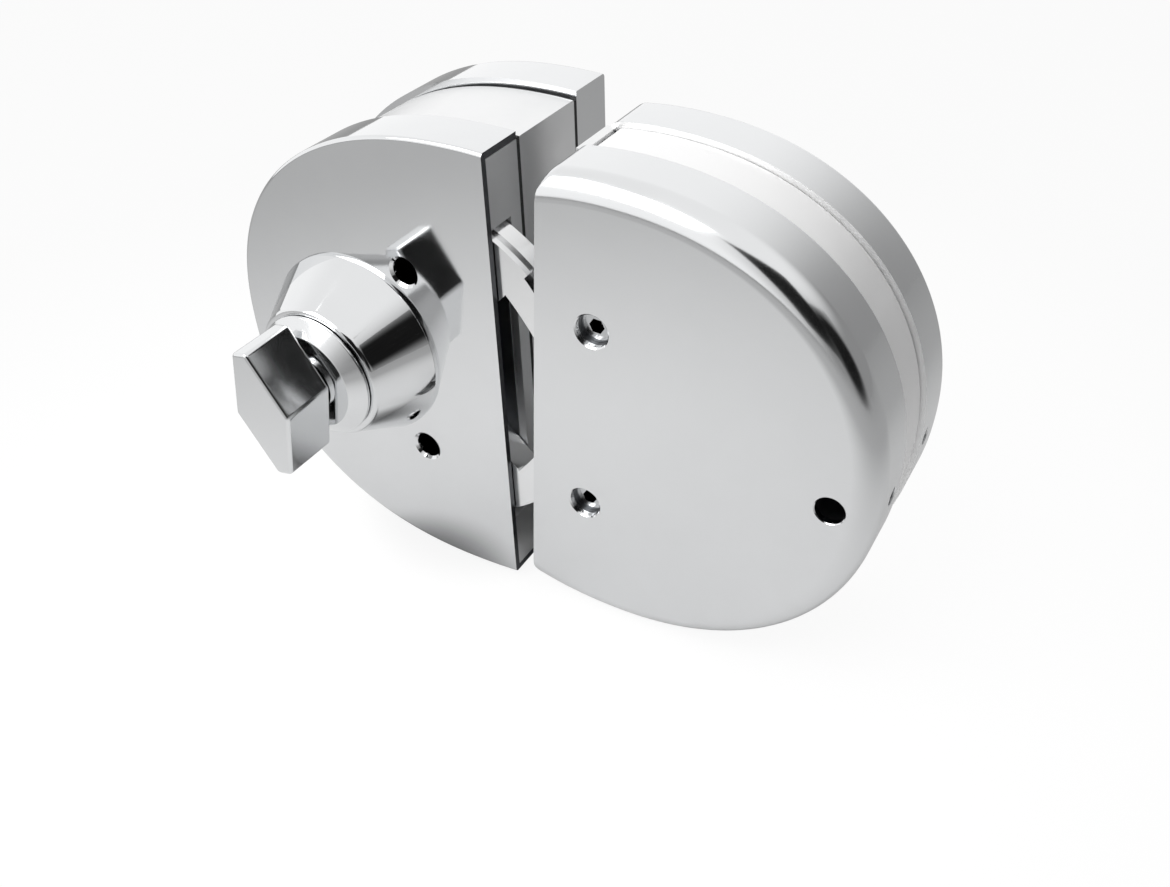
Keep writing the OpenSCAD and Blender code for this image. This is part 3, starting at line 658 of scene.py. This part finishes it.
lozenge = [(-GRIP_END, GRIP_LONG), (GRIP_END, GRIP_LONG), (GRIP_SIDE, 0),
           (GRIP_END, -GRIP_LONG), (-GRIP_END, -GRIP_LONG), (-GRIP_SIDE, 0)]
bm = loft([[(x, y, z) for x, z in lozenge] for y in (GRIP_FRONT, GRIP_BACK)], closed=True)
bmesh.ops.bevel(bm, geom=bm.edges[:], offset=GRIP_EDGE, offset_type="OFFSET", affect="EDGES",
                segments=GRIP_EDGE_STEPS, profile=0.5, material=-1, clamp_overlap=True)
tilt = Matrix.Rotation(math.radians(GRIP_TILT), 4, "Y")
bmesh.ops.transform(bm, matrix=Matrix.Translation((DRIVE_X, 0, DRIVE_Z)) @ tilt, verts=bm.verts)
foot = turned(FOOT_PROFILE, TURNED_STEPS)
foot_mesh = bpy.data.meshes.new("turn_foot")
foot.to_mesh(foot_mesh)
foot.free()
bm.from_mesh(foot_mesh)
bpy.data.meshes.remove(foot_mesh)
finish_piece("thumb_turn_skin", "thumb_turn", bm, drawn_steel, body="turn")


# Cone collar round the foot of the thumb turn, and the rose round the key
# cylinder at the back: both turned from stainless bar and mirror polished. The
# collar is pinned by a grub screw. The profiles give radius and y.

COLLAR_PROFILE = [
    (11.15, -0.01), (22.0, -0.01), (22.0, -0.7), (21.85, -0.95), (15.85, -12.9), (15.7, -13.3),
    (15.55, -13.7), (15.2, -14.05), (14.8, -14.1), (11.15, -14.1),
]
ROSE_PROFILE = [
    (11.1, 48.21), (16.0, 48.21), (16.0, 50.2), (15.8, 50.7), (15.5, 51.0), (15.0, 51.2), (11.1, 51.2),
]
ROSE_STEPS = 128

collar = turned(COLLAR_PROFILE, TURNED_STEPS)
finish_piece("collar_skin", "cone_collar", collar, mirror_steel)
rose = turned(ROSE_PROFILE, ROSE_STEPS)
finish_piece("rear_rose_skin", "rear_rose", rose, mirror_steel)


# Barrel, mouth plate and strike face plate: bar and flat sheet, which keep the
# shape of the solids. The barrel is polished, the plates have a satin finish.

def dress(names, material):
    """Gives CAD nodes their finish."""
    for name in names:
        data = nodes[name].data
        data.materials.clear()
        data.materials.append(material)


dress(["front_barrel"], mirror_steel)
dress(["mouth_plate", "strike_face_plate"], satin_steel)


# Claws, axle, idler pin and tailpiece: steel blanked and ground to shape, the
# claws riveted up from plates. Tumbling leaves a bright but blurred shine.

claw_steel = polished_steel("tumbled_claw_steel", "#E6E7E8", 0.14, 0.26, 12.0, "#F4F4F4")
dress(["upper_claw_plate", "upper_claw_core", "upper_claw_rivets", "lower_claw_plate", "lower_claw_core",
       "lower_claw_rivets", "claw_axle", "idler_pin", "tailpiece"], claw_steel)


# Case, rear plates and strike core: zinc castings behind the covers, left as
# cast and tumbled. They look dark grey and dull through the gaps.

cast_zinc = polished_steel("tumbled_zinc_casting", "#3E4043", 0.32, 0.46, 3.0, "#85878A")
dress(["lock_case", "rear_plate", "strike_core", "strike_rear_plate"], cast_zinc)


# Clamp screws, clip and grub screws: plain hardened steel, turned or punched.
# They look greyer than the covers, with a soft shine.

screw_steel = polished_steel("plain_screw_steel", "#8E9093", 0.18, 0.3, 2.0)
dress(["clamp_screws", "axle_clip", "collar_set_screw", "lock_set_screws", "strike_set_screws"], screw_steel)


# Strike screws: brighter screw steel, painted black deep in the hexagon sockets as
# painted shade. The shade starts at the first depth below and is black from the
# second, both behind the lock's front face, in metres.

SOCKET_SHADE_TOP, SOCKET_SHADE_FULL = 0.0009, 0.0018

screw_steel_painted_socket_shade = polished_steel("screw_steel_with_greased_socket", "#A8AAAC", 0.14, 0.24, 2.0)
tree = screw_steel_painted_socket_shade.node_tree
metal = tree.nodes["Principled BSDF"]
where = add_node(tree, "ShaderNodeTexCoord")
parts = add_node(tree, "ShaderNodeSeparateXYZ", {0: where.outputs["Object"]})
depth = add_node(tree, "ShaderNodeMapRange", {
    "Value": parts.outputs["Y"],
    "From Min": SOCKET_SHADE_TOP,
    "From Max": SOCKET_SHADE_FULL,
})
unshaded_tone = metal.inputs["Base Color"].links[0].from_socket
# Painted shade: the base colour is mixed towards black with depth in the socket.
socket_shaded = add_node(tree, "ShaderNodeMix", {
    "Factor": depth.outputs[0],
    "A": unshaded_tone,
    "B": linear("#101010"),
}, data_type="RGBA")
tree.links.new(socket_shaded.outputs["Result"], metal.inputs["Base Color"])
dress(["strike_screws"], screw_steel_painted_socket_shade)


# Gears and key cylinder: free cutting brass, turned, and the teeth hobbed. It
# keeps fine tool marks, so it glows yellow and mirrors nothing sharply.

cut_brass = polished_steel("turned_brass", "#B08D45", 0.2, 0.32, 2.0)
dress(["drive_gear", "idler_gear", "rear_barrel", "key_plug"], cut_brass)


# Gaskets: black fibre sheet, punched out and clamped against the glass. Only
# their edges show, as dark matt lines with a fine fleck.

FIBRE, FIBRE_DEEP = 2 / 3, 0.2

gasket = bpy.data.materials.new("black_fibre_gasket")
tree = empty_tree(gasket)
where = add_node(tree, "ShaderNodeTexCoord")
fibre = add_node(tree, "ShaderNodeTexNoise", {
    "Vector": where.outputs["Object"],
    "Scale": pattern_scale(FIBRE),
    "Detail": 3.0,
})
fleck = add_node(tree, "ShaderNodeMix", {
    "Factor": fibre.outputs["Fac"],
    "A": linear("#0E0E0F"),
    "B": linear("#262628"),
}, data_type="RGBA")
relief = add_node(tree, "ShaderNodeBump", {
    "Height": fibre.outputs["Fac"],
    "Strength": 0.3,
    "Distance": FIBRE_DEEP / 1000,
})
sheet = add_node(tree, "ShaderNodeBsdfPrincipled", {
    "Base Color": fleck.outputs["Result"],
    "Roughness": 0.75,
    "Normal": relief.outputs[0],
})
add_node(tree, "ShaderNodeOutputMaterial", {"Surface": sheet.outputs[0]})
dress(["front_gasket", "rear_gasket", "strike_front_gasket", "strike_rear_gasket"], gasket)
